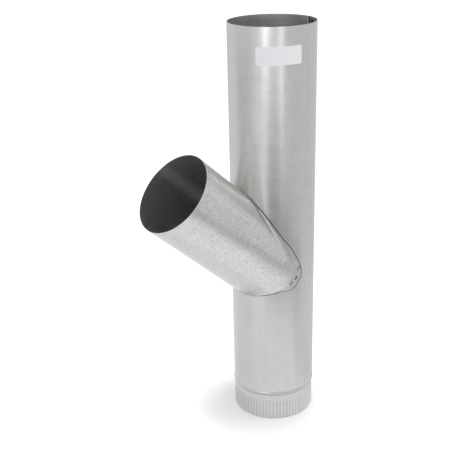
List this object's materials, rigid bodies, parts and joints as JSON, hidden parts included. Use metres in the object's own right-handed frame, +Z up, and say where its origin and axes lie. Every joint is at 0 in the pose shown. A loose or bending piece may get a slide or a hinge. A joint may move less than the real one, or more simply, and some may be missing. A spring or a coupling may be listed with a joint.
{
  "type": "duct y branch",
  "caption": "Sheet-metal duct Y: a straight main pipe with a crimped lower end and a slanted branch pipe lapped on its side, to split or join air flow.",
  "frame": {"origin": "centre of the main pipe's crimped lower end", "axes": "+Z up the main pipe's axis to its plain end; the branch leans out and up towards -X in the XZ plane"},
  "size_m": [0.2851, 0.1294, 0.62],
  "materials": {
    "galvanised_sheet": "zinc-coated mill finish, faint spangle, semi-gloss",
    "label_paper": "matt white self-adhesive paper"
  },
  "bodies": {
    "root": {"main_pipe": "galvanised_sheet", "branch_pipe": "galvanised_sheet", "paper_label": "label_paper"}
  },
  "joints": []
}
